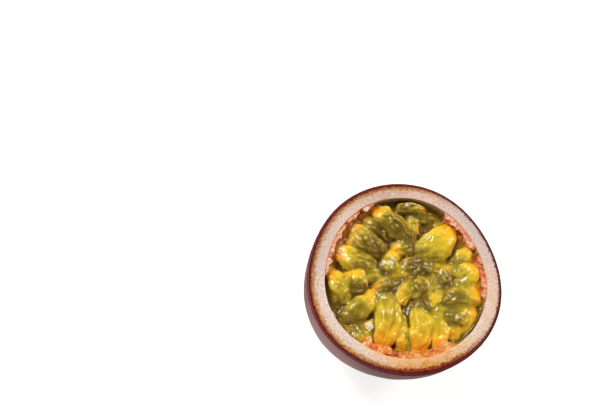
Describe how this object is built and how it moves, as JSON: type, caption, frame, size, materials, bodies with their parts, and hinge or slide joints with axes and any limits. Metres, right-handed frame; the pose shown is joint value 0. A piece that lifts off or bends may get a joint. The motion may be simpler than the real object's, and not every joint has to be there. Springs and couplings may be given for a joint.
{
  "type": "passion fruit half",
  "caption": "Half of a purple passion fruit, cut across: a cup of skin and pale pith, filled with a heap of wet yellow-green juice sacs.",
  "frame": {"origin": "middle of the small flat spot on the rounded end, which the half rests on", "axes": "+Z out of the cut face, +Y towards the side that is at the top of the picture, +X to its right"},
  "size_m": [0.0559, 0.0557, 0.0336],
  "materials": {
    "rind": "satin purple-brown skin, pale pith at the cut",
    "juice_sacs": "wet, yellow to olive green"
  },
  "bodies": {
    "root": {"rind": "rind", "pulp": "juice_sacs"}
  },
  "joints": []
}
